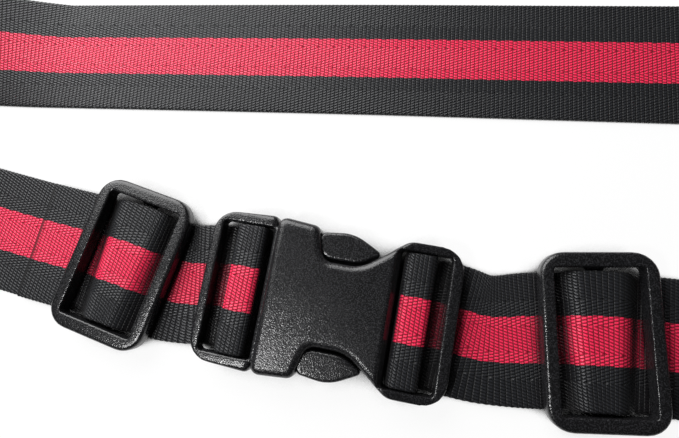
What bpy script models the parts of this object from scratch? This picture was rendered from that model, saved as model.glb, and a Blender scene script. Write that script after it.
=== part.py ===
"""Gait belt: a closed loop of 50 mm striped webbing with a side-release buckle and two tri-glides.

Frame: metres, +Z up. The origin is on the table under the middle of the buckle. +X runs along the
buckle from the insert to the socket, and +Y runs from the buckle towards the back of the loop.
"""

import math

import bmesh
import bpy
import numpy as np
from mathutils import Matrix, Vector

MM = 0.001

# Clearance between neighbouring pieces
GAP = 0.3 * MM
LAYER_GAP = 0.4 * MM

# Webbing
WEBBING_WIDTH = 50 * MM
WEBBING_THICK = 1.4 * MM
WEBBING_CUT_LENGTH = 1524 * MM
LEFT_TAIL_REACH = 95.5 * MM
RIGHT_TAIL_REACH = 115 * MM
WRAP_BEND = 2.2 * MM
SIDE_CLEARANCE = 0.6 * MM
NECK_SHARE = 0.045
NECK_LENGTH = 22 * MM

# Buckle, both halves
FRAME_RAIL = 3.4 * MM
MOUTH_FLARE = 1.4 * MM
BUCKLE_THICK = 14 * MM
FRAME_CORNER = 9 * MM
CENTRE_BAR_WIDTH = 9 * MM
CENTRE_BAR_TOP = 10 * MM
BAR_EDGE = 1.5 * MM
BAR_ROOT = 1.8 * MM
WINDOW_CORNER = 1.2 * MM

# Socket half
SOCKET_LENGTH = 73 * MM
SOCKET_PLATE = 2.1 * MM
SOCKET_SIDE_WALL = 2.8 * MM
SOCKET_END_WALL = 3.7 * MM
SOCKET_EDGE = 2.6 * MM
MOUTH_CORNER = 3.6 * MM
SOCKET_OUTER_BAR = 4.5 * MM
SOCKET_OUTER_SLOT = 7.4 * MM
SOCKET_INNER_SLOT = 2.9 * MM
SOCKET_FRAME_TAPER = 27 * MM
SLOT_CHAMFER = 2.4 * MM
SLOT_CHAMFER_SLOPE = 1.6

# Side notch of the socket's plates: its start from the mouth, its end from the strap frame
NOTCH_START = 16.7 * MM
NOTCH_FLOOR_START = 20.3 * MM
NOTCH_FLOOR_SETBACK = 14.7 * MM
NOTCH_RUNOUT = 2.3 * MM
NOTCH_DEPTH = 12.8 * MM
NOTCH_HEEL_RADIUS = 4.5 * MM
NOTCH_FLOOR_RADIUS = 14 * MM
NOTCH_RUNOUT_RADIUS = 7 * MM

# Insert half
INSERT_THICK = 9.2 * MM
INSERT_EDGE = 1.8 * MM
INSERT_FRONT_CORNER = 2.2 * MM
INSERT_OUTER_BAR = 3.8 * MM
INSERT_OUTER_SLOT = 8.0 * MM
INSERT_INNER_SLOT = 4.2 * MM
INSERT_FRONT_WALL = 0.7 * MM
INSERT_BASE_LENGTH = 6.0 * MM
INSERT_BASE_EDGE = 0.6 * MM
TONGUE_SETBACK = 9.2 * MM
TONGUE_WIDTH = 10 * MM
TONGUE_TIP_WIDTH = 7 * MM
TONGUE_THICK = 5.6 * MM
TONGUE_ROOT_RADIUS = 0.5 * MM
TONGUE_TIP_RADIUS = 2.5 * MM
TONGUE_EDGE = 0.4 * MM

# Release arms: the tab's shoulder and crown from the mouth, its tip from the strap frame
ARM_THICK = 9.2 * MM
ARM_EDGE = 1.0 * MM
ARM_STRIP_WIDTH = 3.8 * MM
ARM_INSET = 2.0 * MM
ARM_BEND_SETBACK = 2.0 * MM
ARM_BEND_RADIUS = 4.0 * MM
ARM_SHOULDER_SETBACK = 0.5 * MM
ARM_SHOULDER_RADIUS = 1.5 * MM
TAB_SHOULDER = 18.4 * MM
TAB_SHOULDER_DROP = 1.5 * MM
TAB_SHOULDER_RADIUS = 1.3 * MM
TAB_CROWN = 30 * MM
TAB_CROWN_RADIUS = 16 * MM
TAB_TIP_SETBACK = 6.9 * MM
TAB_TIP_RADIUS = 1.2 * MM
TAB_HEEL_OFFSET = 1.5 * MM
TAB_HEEL_RADIUS = 3.0 * MM
TAB_FLOOR_OFFSET = 1.0 * MM
TAB_FLOOR_RADIUS = 12 * MM
TAB_CROWN_INSET = 0.4 * MM
TAB_TIP_INSET = 6.8 * MM
TAB_NOTCH_GAP = 1.0 * MM

# Tri-glides
GLIDE_LENGTH = 42 * MM
GLIDE_RAIL = 5.5 * MM
GLIDE_THICK = 7 * MM
GLIDE_CORNER = 9 * MM
GLIDE_END_BAR = 5 * MM
GLIDE_SIDE_CLEARANCE = 1.3 * MM
GLIDE_CENTRE_BAR = 6.4 * MM
GLIDE_CENTRE_BAR_THICK = 2.2 * MM
GLIDE_BAR_RISE = 0.1 * MM
GLIDE_BAR_EDGE = 0.8 * MM
GLIDE_EDGE = 1.5 * MM
GLIDE_CREST_MARGIN = 1.4 * MM
GLIDE_FOOT_MARGIN = 1.5 * MM

# Places of the tri-glides along the strap, from the buckle bar that the strap is wrapped on
LEFT_GLIDE_REACH = 52 * MM
RIGHT_GLIDE_REACH = 68.5 * MM
LEFT_GLIDE_TURN = math.radians(-2.2)
RIGHT_GLIDE_TURN = math.radians(2.0)

# Route of the strap on the table: x, y on the route grid and roll in degrees, from the insert's bar
# round the loop. Roll 0 has the outer face up, 90 stands on edge, 180 has the inner face up.
ROUTE_GRID = 1 * MM
LEFT_FRONT_ROUTE = [
    (-22, 0, 0), (-33, 0, 0), (-40, 0, 0), (-47, -0.4, 0), (-57, -2.0, 0), (-69, -1.7, 0),
    (-85, 1.2, 0), (-100, 2.5, 0), (-115, 3.5, 0), (-130, 4.6, 0), (-150, 6.4, 0),
]
LEFT_TURN_ROUTE = [
    (-180, 9.2, 6), (-212, 12.4, 30), (-243, 17.2, 60), (-268, 28, 82), (-277, 45.5, 90),
    (-268, 62, 98), (-243, 72.8, 120), (-212, 79.2, 147), (-178, 84.0, 167),
]
BACK_ROUTE = [(-140, 88.6, 180), (-75, 96.4, 180), (0, 105.2, 180), (75, 113.5, 180), (150, 121.8, 180)]
# The right turn's x values are from the end of the back stretch, which the cut length sets
RIGHT_TURN_ROUTE = [
    (0, 128.5, 174), (42, 133.5, 152), (82, 132.5, 124), (114, 116, 102), (127, 84, 90),
    (118, 52.5, 78), (90, 32.5, 56), (52, 22.5, 28), (14, 17, 6),
]
RIGHT_FRONT_ROUTE = [
    (165, 11.6, 0), (140, 8.7, 0), (120, 7.2, 0), (101, 5.6, 0), (80, 1.6, 0), (60, -1.6, 0),
    (47, -0.4, 0), (40, 0, 0), (33, 0, 0), (22, 0, 0),
]
RIGHT_TURN_FIRST_X = 215 * MM
LOOP_STEP = 4.5 * MM
LOOP_CELLS = 5
CURVE_STEP = 1.1 * MM
FLAT_STEP = 16 * MM

# Colours, linear
PLASTIC_BLACK = (0.012, 0.012, 0.013, 1)
WEBBING_BLACK = (0.016, 0.016, 0.018, 1)

# Fits that follow from the sizes above
LAYER = WEBBING_THICK + LAYER_GAP
MAIN_Z = WEBBING_THICK / 2
TAIL_Z = MAIN_Z + LAYER
TWO_LAYERS_TOP = 2 * LAYER
STRAP_WINDOW = WEBBING_WIDTH + 2 * SIDE_CLEARANCE
BUCKLE_WIDTH = STRAP_WINDOW + 2 * FRAME_RAIL
GLIDE_WINDOW = WEBBING_WIDTH + 2 * GLIDE_SIDE_CLEARANCE
GLIDE_WIDTH = GLIDE_WINDOW + 2 * GLIDE_RAIL
BUCKLE_MID_Z = BUCKLE_THICK / 2
SOCKET_FRAME_LENGTH = SOCKET_OUTER_BAR + SOCKET_OUTER_SLOT + CENTRE_BAR_WIDTH + SOCKET_INNER_SLOT
SOCKET_BODY_LENGTH = SOCKET_LENGTH - SOCKET_FRAME_LENGTH
SOCKET_CAVITY_DEPTH = SOCKET_BODY_LENGTH - SOCKET_END_WALL
NOTCH_FLOOR_HALF_WIDTH = BUCKLE_WIDTH / 2 - NOTCH_DEPTH
NOTCH_FLOOR_END = SOCKET_BODY_LENGTH - NOTCH_FLOOR_SETBACK
NOTCH_END = SOCKET_BODY_LENGTH + NOTCH_RUNOUT
TONGUE_REACH = SOCKET_BODY_LENGTH - TONGUE_SETBACK
TAB_TIP = SOCKET_BODY_LENGTH - TAB_TIP_SETBACK
TAB_CROWN_HALF_WIDTH = BUCKLE_WIDTH / 2 - TAB_CROWN_INSET
TAB_TIP_HALF_WIDTH = BUCKLE_WIDTH / 2 - TAB_TIP_INSET
TAB_INNER_HALF_WIDTH = NOTCH_FLOOR_HALF_WIDTH + TAB_NOTCH_GAP
INSERT_FRAME_LENGTH = (
    INSERT_OUTER_BAR + INSERT_OUTER_SLOT + CENTRE_BAR_WIDTH + INSERT_INNER_SLOT + INSERT_FRONT_WALL
)
BUCKLE_LENGTH = SOCKET_LENGTH + GAP + INSERT_FRAME_LENGTH
SOCKET_END_X = BUCKLE_LENGTH / 2
MOUTH_X = SOCKET_END_X - SOCKET_LENGTH
INSERT_END_X = -BUCKLE_LENGTH / 2
CAVITY_HALF_WIDTH = BUCKLE_WIDTH / 2 - SOCKET_SIDE_WALL
SOCKET_BAR_X = SOCKET_END_X - SOCKET_OUTER_BAR - SOCKET_OUTER_SLOT - CENTRE_BAR_WIDTH / 2
INSERT_BAR_X = INSERT_END_X + INSERT_OUTER_BAR + INSERT_OUTER_SLOT + CENTRE_BAR_WIDTH / 2
GLIDE_BAR_TOP = TWO_LAYERS_TOP + GLIDE_BAR_RISE + GLIDE_CENTRE_BAR_THICK
GLIDE_CREST_Z = GLIDE_BAR_TOP + GAP + WEBBING_THICK / 2
ARM_ROOT_X = MOUTH_X + INSERT_BASE_LENGTH + GAP
ARM_HINGE_X = ARM_ROOT_X + ARM_STRIP_WIDTH / 2
ARM_OUTER_HALF_WIDTH = CAVITY_HALF_WIDTH - ARM_INSET


def make_collection(name):
    """Returns a new collection linked into the scene."""
    made = bpy.data.collections.new(name)
    bpy.context.scene.collection.children.link(made)
    return made


def make_material(name, colour, roughness):
    """Returns a Principled material."""
    material = bpy.data.materials.new(name)
    material.use_nodes = True
    shader = material.node_tree.nodes["Principled BSDF"]
    shader.inputs["Base Color"].default_value = colour
    shader.inputs["Roughness"].default_value = roughness
    shader.inputs["Metallic"].default_value = 0
    return material


def add_object(name, mesh, collection, material=None):
    """Puts a mesh into a collection as a named object."""
    made = bpy.data.objects.new(name, mesh)
    collection.objects.link(made)
    if material:
        mesh.materials.clear()
        mesh.materials.append(material)
    return made


def as_tool(tool):
    """Marks an object as a cutter or an added body, which isn't a part by itself."""
    tool.hide_render = True
    tool.display_type = "WIRE"
    return tool


def boolean(target, tool, operation):
    """Cuts or joins a tool on a target with a live modifier."""
    modifier = target.modifiers.new(tool.name, "BOOLEAN")
    modifier.operation = operation
    modifier.object = as_tool(tool)
    modifier.solver = "EXACT"


def rounded_outline(corners, steps=6):
    """Points of a closed outline whose corners (x, y, radius) are rounded by tangent arcs.

    A radius is limited where its arc and the next one would meet on the side between them.
    """
    places = [Vector(corner[:2]) for corner in corners]
    sides = [place - places[i - 1] for i, place in enumerate(places)]
    sides.append(sides[0])
    halves = [(-side).angle(following) / 2 for side, following in zip(sides, sides[1:])]
    reaches = [radius / math.tan(half) for (_, _, radius), half in zip(corners, halves)]
    fits = [min(1, sides[i].length / (reaches[i - 1] + reach)) for i, reach in enumerate(reaches)]
    fits.append(fits[0])
    points = []
    for i, corner in enumerate(places):
        before = -sides[i].normalized()
        after = sides[i + 1].normalized()
        reach = reaches[i] * min(fits[i], fits[i + 1])
        centre = corner + (before + after).normalized() * (reach / math.cos(halves[i]))
        first = corner + before * reach - centre
        last = corner + after * reach - centre
        turn = math.atan2(first.cross(last), first.dot(last))
        for k in range(steps + 1):
            points.append(centre + Matrix.Rotation(turn * k / steps, 2) @ first)
    return points


def rounded_rectangle(low_x, high_x, half_width, low_radius, high_radius):
    """Outline of a rectangle across the X axis, with its own corner radius at each end."""
    return rounded_outline([
        (low_x, -half_width, low_radius), (high_x, -half_width, high_radius),
        (high_x, half_width, high_radius), (low_x, half_width, low_radius),
    ])


def slab(name, outline, low_z, high_z, edge, collection, material=None, bevel_steps=2):
    """A flat outline extruded from low_z to high_z, with its rims rounded by the radius edge."""
    curve = bpy.data.curves.new(name, "CURVE")
    curve.dimensions = "2D"
    curve.fill_mode = "BOTH"
    curve.extrude = (high_z - low_z) / 2 - edge
    curve.bevel_depth = edge
    curve.bevel_resolution = bevel_steps
    curve.offset = -edge
    spline = curve.splines.new("POLY")
    spline.points.add(len(outline) - 1)
    for point, (x, y) in zip(spline.points, outline):
        point.co = (x, y, 0, 1)
    spline.use_cyclic_u = True
    holder = bpy.data.objects.new(name, curve)
    collection.objects.link(holder)
    bpy.context.view_layer.update()
    mesh = bpy.data.meshes.new_from_object(holder.evaluated_get(bpy.context.evaluated_depsgraph_get()))
    bpy.data.objects.remove(holder)
    mesh.transform(Matrix.Translation((0, 0, (low_z + high_z) / 2)))
    close_mesh(mesh)
    return add_object(name, mesh, collection, material)


def close_mesh(mesh):
    """Welds a mesh's loose rims and turns its faces outwards."""
    shape = bmesh.new()
    shape.from_mesh(mesh)
    bmesh.ops.remove_doubles(shape, verts=shape.verts, dist=1e-6)
    bmesh.ops.recalc_face_normals(shape, faces=shape.faces)
    shape.to_mesh(mesh)
    shape.free()
    mesh.shade_smooth()
    mesh.set_sharp_from_angle(angle=math.radians(40))


def box(name, low, high, collection, edge=0):
    """A box between two corners, with rounded edges where edge is over 0."""
    shape = bmesh.new()
    size = Vector(high) - Vector(low)
    middle = (Vector(high) + Vector(low)) / 2
    place = Matrix.Translation(middle) @ Matrix.Diagonal((*size, 1))
    bmesh.ops.create_cube(shape, size=1, matrix=place)
    if edge:
        bmesh.ops.bevel(shape, geom=shape.edges[:], offset=edge, segments=2, profile=0.5, affect="EDGES")
    mesh = bpy.data.meshes.new(name)
    shape.to_mesh(mesh)
    shape.free()
    return add_object(name, mesh, collection)


def wedge(name, profile, half_width, collection):
    """A prism with a profile of (x, z) corners, running across the buckle."""
    shape = bmesh.new()
    near = [shape.verts.new((x, -half_width, z)) for x, z in profile]
    face = shape.faces.new(near)
    grown = bmesh.ops.extrude_face_region(shape, geom=[face])
    moved = [v for v in grown["geom"] if isinstance(v, bmesh.types.BMVert)]
    bmesh.ops.translate(shape, verts=moved, vec=(0, 2 * half_width, 0))
    mesh = bpy.data.meshes.new(name)
    bmesh.ops.recalc_face_normals(shape, faces=shape.faces)
    shape.to_mesh(mesh)
    shape.free()
    return add_object(name, mesh, collection)


def cut_strap_frame(piece, bar_x, inner_slot, outer_slot, sign, collection):
    """Cuts the strap window through a frame and sets the round-edged centre bar across it.

    sign is 1 where the frame's outer end points along +X and -1 where it points along -X.
    """
    half_bar = CENTRE_BAR_WIDTH / 2
    half_window = STRAP_WINDOW / 2
    ends = sorted((bar_x - sign * (half_bar + inner_slot), bar_x + sign * (half_bar + outer_slot)))
    outline = rounded_rectangle(*ends, half_window, WINDOW_CORNER, WINDOW_CORNER)
    window = slab(f"{piece.name}_window", outline, -BUCKLE_THICK, 2 * BUCKLE_THICK, 0, collection)
    boolean(piece, window, "DIFFERENCE")
    half_bar_length = half_window + BAR_ROOT
    bar = box(f"{piece.name}_centre_bar", (bar_x - half_bar, -half_bar_length, TWO_LAYERS_TOP),
              (bar_x + half_bar, half_bar_length, CENTRE_BAR_TOP), collection, edge=BAR_EDGE)
    boolean(piece, bar, "UNION")


def taper_strap_frame(piece, start_x, clear_x, full_half, collection):
    """Planes the frame thinner towards its outer end, clear of two layers of webbing from clear_x on."""
    past_x = clear_x + math.copysign(BUCKLE_WIDTH, clear_x)
    clear_half = BUCKLE_MID_Z - TWO_LAYERS_TOP
    slope = (full_half - clear_half) / (clear_x - start_x)
    past_half = full_half - slope * (past_x - start_x)
    tall = BUCKLE_THICK
    for label, side in (("top", 1), ("underside", -1)):
        profile = [
            (start_x, BUCKLE_MID_Z + side * full_half),
            (past_x, BUCKLE_MID_Z + side * past_half),
            (past_x, BUCKLE_MID_Z + side * tall),
            (start_x, BUCKLE_MID_Z + side * tall),
        ]
        boolean(piece, wedge(f"{piece.name}_taper_{label}", profile, BUCKLE_WIDTH, collection), "DIFFERENCE")


def build_socket(parts, tools, material):
    """The socket half: two plates with side notches, a hollow for the insert, and a strap frame."""
    half = BUCKLE_WIDTH / 2
    side = [
        (MOUTH_X, half + MOUTH_FLARE, MOUTH_CORNER),
        (MOUTH_X + NOTCH_START, half, MOUTH_CORNER),
        (MOUTH_X + NOTCH_FLOOR_START, NOTCH_FLOOR_HALF_WIDTH, NOTCH_HEEL_RADIUS),
        (MOUTH_X + NOTCH_FLOOR_END, NOTCH_FLOOR_HALF_WIDTH, NOTCH_FLOOR_RADIUS),
        (MOUTH_X + NOTCH_END, half, NOTCH_RUNOUT_RADIUS),
        (SOCKET_END_X, half, FRAME_CORNER),
    ]
    other_side = [(x, -y, radius) for x, y, radius in reversed(side)]
    outline = rounded_outline(side + other_side)
    socket = slab("female_socket", outline, 0, BUCKLE_THICK, SOCKET_EDGE, parts, material)
    clear_x = SOCKET_END_X - SOCKET_OUTER_BAR
    taper_strap_frame(socket, SOCKET_END_X - SOCKET_FRAME_TAPER, clear_x, BUCKLE_MID_Z, tools)
    hollow = box("socket_hollow", (MOUTH_X - BUCKLE_THICK, -CAVITY_HALF_WIDTH, SOCKET_PLATE),
                 (MOUTH_X + SOCKET_CAVITY_DEPTH, CAVITY_HALF_WIDTH, BUCKLE_THICK - SOCKET_PLATE), tools)
    boolean(socket, hollow, "DIFFERENCE")
    cut_strap_frame(socket, SOCKET_BAR_X, SOCKET_INNER_SLOT, SOCKET_OUTER_SLOT, 1, tools)
    slot_x = SOCKET_BAR_X - CENTRE_BAR_WIDTH / 2 - SOCKET_INNER_SLOT
    lip = [
        (slot_x - SLOT_CHAMFER, 2 * BUCKLE_THICK),
        (slot_x - SLOT_CHAMFER, BUCKLE_THICK),
        (slot_x + GAP, BUCKLE_THICK - SLOT_CHAMFER_SLOPE * SLOT_CHAMFER),
        (slot_x + GAP, 2 * BUCKLE_THICK),
    ]
    boolean(socket, wedge("socket_slot_chamfer", lip, STRAP_WINDOW / 2, tools), "DIFFERENCE")
    return socket


def build_insert(parts, tools, material):
    """The insert half: a strap frame, the base that enters the socket and the centre tongue."""
    low_z = BUCKLE_MID_Z - INSERT_THICK / 2
    high_z = BUCKLE_MID_Z + INSERT_THICK / 2
    frame_end = MOUTH_X - GAP
    half = BUCKLE_WIDTH / 2
    front_half = half + MOUTH_FLARE
    outline = rounded_outline([
        (INSERT_END_X, -half, FRAME_CORNER), (frame_end, -front_half, INSERT_FRONT_CORNER),
        (frame_end, front_half, INSERT_FRONT_CORNER), (INSERT_END_X, half, FRAME_CORNER),
    ])
    insert = slab("male_insert", outline, low_z, high_z, INSERT_EDGE, parts, material)
    clear_x = INSERT_END_X + INSERT_OUTER_BAR
    taper_strap_frame(insert, frame_end - INSERT_INNER_SLOT, clear_x, INSERT_THICK / 2, tools)
    cut_strap_frame(insert, INSERT_BAR_X, INSERT_INNER_SLOT, INSERT_OUTER_SLOT, -1, tools)
    base_half = CAVITY_HALF_WIDTH - GAP
    base = box("insert_base", (frame_end - 1.5 * GAP, -base_half, low_z),
               (MOUTH_X + INSERT_BASE_LENGTH, base_half, high_z), tools, edge=INSERT_BASE_EDGE)
    boolean(insert, base, "UNION")
    tip = MOUTH_X + TONGUE_REACH
    outline = rounded_outline([
        (MOUTH_X, -TONGUE_WIDTH / 2, TONGUE_ROOT_RADIUS), (tip, -TONGUE_TIP_WIDTH / 2, TONGUE_TIP_RADIUS),
        (tip, TONGUE_TIP_WIDTH / 2, TONGUE_TIP_RADIUS), (MOUTH_X, TONGUE_WIDTH / 2, TONGUE_ROOT_RADIUS),
    ])
    half_tongue = TONGUE_THICK / 2
    tongue = slab("insert_tongue", outline, BUCKLE_MID_Z - half_tongue, BUCKLE_MID_Z + half_tongue,
                  TONGUE_EDGE, tools, bevel_steps=0)
    boolean(insert, tongue, "UNION")
    return insert


def build_arm(name, sign, parts, material):
    """A sprung release arm: a flat strip from its root with a leaf-shaped tab. sign is its side."""
    outer = ARM_OUTER_HALF_WIDTH
    inner = outer - ARM_STRIP_WIDTH
    root = 0.49 * ARM_STRIP_WIDTH
    corners = [
        (ARM_ROOT_X, inner, root),
        (MOUTH_X + NOTCH_START - ARM_BEND_SETBACK, inner, ARM_BEND_RADIUS),
        (MOUTH_X + NOTCH_FLOOR_START + TAB_HEEL_OFFSET, TAB_INNER_HALF_WIDTH, TAB_HEEL_RADIUS),
        (MOUTH_X + NOTCH_FLOOR_END - TAB_FLOOR_OFFSET, TAB_INNER_HALF_WIDTH, TAB_FLOOR_RADIUS),
        (MOUTH_X + TAB_TIP, TAB_TIP_HALF_WIDTH, TAB_TIP_RADIUS),
        (MOUTH_X + TAB_CROWN, TAB_CROWN_HALF_WIDTH, TAB_CROWN_RADIUS),
        (MOUTH_X + TAB_SHOULDER, TAB_CROWN_HALF_WIDTH - TAB_SHOULDER_DROP, TAB_SHOULDER_RADIUS),
        (MOUTH_X + NOTCH_START - ARM_SHOULDER_SETBACK, outer, ARM_SHOULDER_RADIUS),
        (ARM_ROOT_X, outer, root),
    ]
    hinge = Vector((ARM_HINGE_X, sign * (inner + outer) / 2, BUCKLE_MID_Z))
    outline = rounded_outline([(x - hinge.x, sign * y - hinge.y, radius) for x, y, radius in corners], 5)
    arm = slab(name, outline, -ARM_THICK / 2, ARM_THICK / 2, ARM_EDGE, parts, material)
    arm.location = hinge
    return arm


def build_glide(name, place, heading, parts, tools, material):
    """A tri-glide: a rounded frame with two slots and a low centre bar, lying over both layers."""
    half_length = GLIDE_LENGTH / 2
    outline = rounded_rectangle(-half_length, half_length, GLIDE_WIDTH / 2, GLIDE_CORNER, GLIDE_CORNER)
    glide = slab(name, outline, 0, GLIDE_THICK, GLIDE_EDGE, parts, material)
    half_bar = GLIDE_CENTRE_BAR / 2
    half_window = GLIDE_WINDOW / 2
    half_opening = half_length - GLIDE_END_BAR
    outline = rounded_rectangle(-half_opening, half_opening, half_window, WINDOW_CORNER, WINDOW_CORNER)
    window = slab(f"{name}_window", outline, -GLIDE_THICK, 2 * GLIDE_THICK, 0, tools)
    boolean(glide, window, "DIFFERENCE")
    half_bar_length = half_window + BAR_ROOT
    bar_top = GLIDE_BAR_RISE + GLIDE_CENTRE_BAR_THICK
    bar = box(f"{name}_centre_bar", (-half_bar, -half_bar_length, GLIDE_BAR_RISE),
              (half_bar, half_bar_length, bar_top), tools, edge=GLIDE_BAR_EDGE)
    boolean(glide, bar, "UNION")
    window.parent = glide
    bar.parent = glide
    glide.location = (*place, TWO_LAYERS_TOP)
    glide.rotation_euler = (0, 0, heading)
    return glide


def smooth_table(points, per_span=16):
    """Dense points of a smooth curve through route points, by cubic spans with averaged slopes."""
    points = np.array(points, float)
    steps = np.linalg.norm(np.diff(points[:, :2], axis=0), axis=1)
    at = np.concatenate([[0], np.cumsum(steps)])
    slopes = np.gradient(points, at, axis=0)
    dense = []
    for i, step in enumerate(steps):
        u = np.linspace(0, 1, per_span, endpoint=False)[:, None]
        dense.append(
            (2 * u**3 - 3 * u**2 + 1) * points[i] + (u**3 - 2 * u**2 + u) * step * slopes[i]
            + (3 * u**2 - 2 * u**3) * points[i + 1] + (u**3 - u**2) * step * slopes[i + 1]
        )
    return np.concatenate([*dense, points[-1:]])


class StrapRoute:
    """The strap's centre line on the table, by distance from the insert's bar."""

    def __init__(self, turn_x):
        scale = np.array([ROUTE_GRID, ROUTE_GRID, math.pi / 180])
        turn = np.array(RIGHT_TURN_ROUTE) * scale + [turn_x, 0, 0]
        fixed = [np.array(stretch) * scale for stretch in
                 (LEFT_FRONT_ROUTE, LEFT_TURN_ROUTE, BACK_ROUTE, RIGHT_FRONT_ROUTE)]
        self.table = smooth_table(np.concatenate([*fixed[:3], turn, fixed[3]]))
        steps = np.linalg.norm(np.diff(self.table[:, :2], axis=0), axis=1)
        self.along = np.concatenate([[0], np.cumsum(steps)])
        self.along -= self.distance_at(INSERT_BAR_X, 0)
        self.length = self.distance_at(SOCKET_BAR_X, len(self.table) - 1)
        self.heading = np.unwrap(np.arctan2(*np.gradient(self.table[:, :2], self.along, axis=0).T[::-1]))

    def distance_at(self, x, end):
        """Distance along the route where its first or last stretch passes x."""
        span = slice(0, 40) if end == 0 else slice(-40, None)
        order = np.argsort(self.table[span, 0])
        return float(np.interp(x, self.table[span, 0][order], self.along[span][order]))

    def turn_start(self, points, at):
        """Distance along the route of the point nearest to a route point."""
        target = np.array(points[at][:2]) * ROUTE_GRID
        return float(self.along[np.argmin(np.linalg.norm(self.table[:, :2] - target, axis=1))])

    def at(self, distance):
        """Place (x, y), heading and roll at a distance."""
        x, y, roll = [np.interp(distance, self.along, column) for column in self.table.T]
        return x, y, np.interp(distance, self.along, self.heading), np.clip(roll, 0, math.pi)


def find_route():
    """The route whose two ends and two tails add up to the webbing's cut length."""
    turn_x = RIGHT_TURN_FIRST_X
    for _ in range(12):
        route = StrapRoute(turn_x)
        tails = tail_length(LEFT_TAIL_REACH) + tail_length(RIGHT_TAIL_REACH)
        turn_x += (WEBBING_CUT_LENGTH - tails - route.length) / 2
    return route


def tail_length(reach):
    """Length of one tail: its wrap round the buckle's centre bar and its run to the cut end."""
    half_bar = CENTRE_BAR_WIDTH / 2 + GAP + WEBBING_THICK / 2
    rise = CENTRE_BAR_TOP + GAP
    return reach + 2 * half_bar + 2 * rise - TAIL_Z


def crest(distance):
    """Height of the lower layer's centre over a tri-glide's bar, at a distance from its middle."""
    top = GLIDE_CENTRE_BAR / 2 + GLIDE_CREST_MARGIN
    foot = GLIDE_LENGTH / 2 - GLIDE_END_BAR - GLIDE_FOOT_MARGIN
    share = np.clip((foot - np.abs(distance)) / (foot - top), 0, 1)
    rise = np.where(share < 0.5, 2 * share**2, 1 - 2 * (1 - share) ** 2)
    return MAIN_Z + (GLIDE_CREST_Z - MAIN_Z) * rise


def neck(distance, reach):
    """Width of the webbing, drawn in between the buckle and a tri-glide."""
    middle = (CENTRE_BAR_WIDTH + reach - GLIDE_LENGTH / 2 + FRAME_CORNER) / 2
    return WEBBING_WIDTH * (1 - NECK_SHARE * np.exp(-(((distance - middle) / NECK_LENGTH * 2) ** 2)))


def spaced(low, high, glide_at):
    """Distances from low to high: close together over the tri-glide and wide apart elsewhere."""
    half = GLIDE_LENGTH / 2
    stops = [low, *[stop for stop in (glide_at - half, glide_at + half) if low < stop < high], high]
    marks = []
    for first, last in zip(stops, stops[1:]):
        near = abs((first + last) / 2 - glide_at) < half
        count = max(1, math.ceil((last - first) / (CURVE_STEP if near else FLAT_STEP / 2)))
        marks += list(np.linspace(first, last, count, endpoint=False))
    return np.array(marks + [high])


def wrap_path():
    """Centre line of the webbing round a centre bar, as (distance, height) from under the bar."""
    reach = CENTRE_BAR_WIDTH / 2 + GAP + WEBBING_THICK / 2
    top = CENTRE_BAR_TOP + GAP + WEBBING_THICK / 2
    corners = [(-reach, MAIN_Z), (-reach, top), (reach, top), (reach, TAIL_Z)]
    turns = [(*corner, WRAP_BEND) for corner in corners]
    start = (GAP / 2 + reach / 4, MAIN_Z, 0)
    leave = (reach + 2.2 * WRAP_BEND, TAIL_Z, 0)
    points = [Vector(start[:2])]
    chain = [start, *turns, leave]
    for before, (x, z, radius), after in zip(chain, chain[1:], chain[2:]):
        corner = Vector((x, z))
        back = (Vector(before[:2]) - corner).normalized()
        ahead = (Vector(after[:2]) - corner).normalized()
        centre = corner + (back + ahead) * radius
        for k in range(7):
            angle = k * math.pi / 12
            points.append(centre - ahead * radius * math.cos(angle) - back * radius * math.sin(angle))
    points.append(Vector(leave[:2]))
    return np.array([tuple(p) for p in points])


def ribbon(name, places, runs, sides, widths, parts, material, cells=1):
    """A closed band of webbing: a rectangle carried along centre places.

    runs are the directions of travel, sides the directions across the webbing's width, and cells the
    number of faces across it.
    """
    runs = runs / np.linalg.norm(runs, axis=1)[:, None]
    faces_up = np.cross(sides, runs)
    across = sides * np.broadcast_to(widths, len(places))[:, None] / 2
    through = faces_up * WEBBING_THICK / 2
    shares = np.linspace(1, -1, cells + 1)
    upper = [places + share * across + through for share in shares]
    lower = [places + share * across - through for share in shares[::-1]]
    rings = np.stack([*upper, *lower], axis=1)
    shape = bmesh.new()
    loops = [[shape.verts.new(corner) for corner in ring] for ring in rings]
    count = len(loops[0])
    for ring, following in zip(loops, loops[1:]):
        for k in range(count):
            shape.faces.new((ring[k], ring[(k + 1) % count], following[(k + 1) % count], following[k]))
    shape.faces.new(loops[0])
    shape.faces.new(loops[-1])
    bmesh.ops.recalc_face_normals(shape, faces=shape.faces)
    mesh = bpy.data.meshes.new(name)
    shape.to_mesh(mesh)
    shape.free()
    mesh.shade_smooth()
    mesh.set_sharp_from_angle(angle=math.radians(40))
    return add_object(name, mesh, parts, material)


def lower_strap(name, route, marks, heights, widths, parts, material, cells=1):
    """A stretch of the loop, at distances along the route, with the height of its centre."""
    x, y, heading, roll = route.at(marks)
    lift = np.where(np.abs(np.sin(roll)) > 1e-6, np.sin(roll) * WEBBING_WIDTH / 2, 0)
    flat = np.abs(np.cos(roll)) * (heights - MAIN_Z) + MAIN_Z
    places = np.stack([x, y, lift + flat], axis=1)
    runs = np.stack([np.cos(heading), np.sin(heading), np.gradient(places[:, 2], marks)], axis=1)
    level = np.stack([np.sin(heading), -np.cos(heading), np.zeros_like(heading)], axis=1)
    runs[:, 2] *= np.abs(np.sin(roll)) < 1e-6
    sides = np.cos(roll)[:, None] * level
    sides[:, 2] += np.sin(roll)
    return ribbon(name, places, runs, sides, widths, parts, material, cells)


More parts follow.
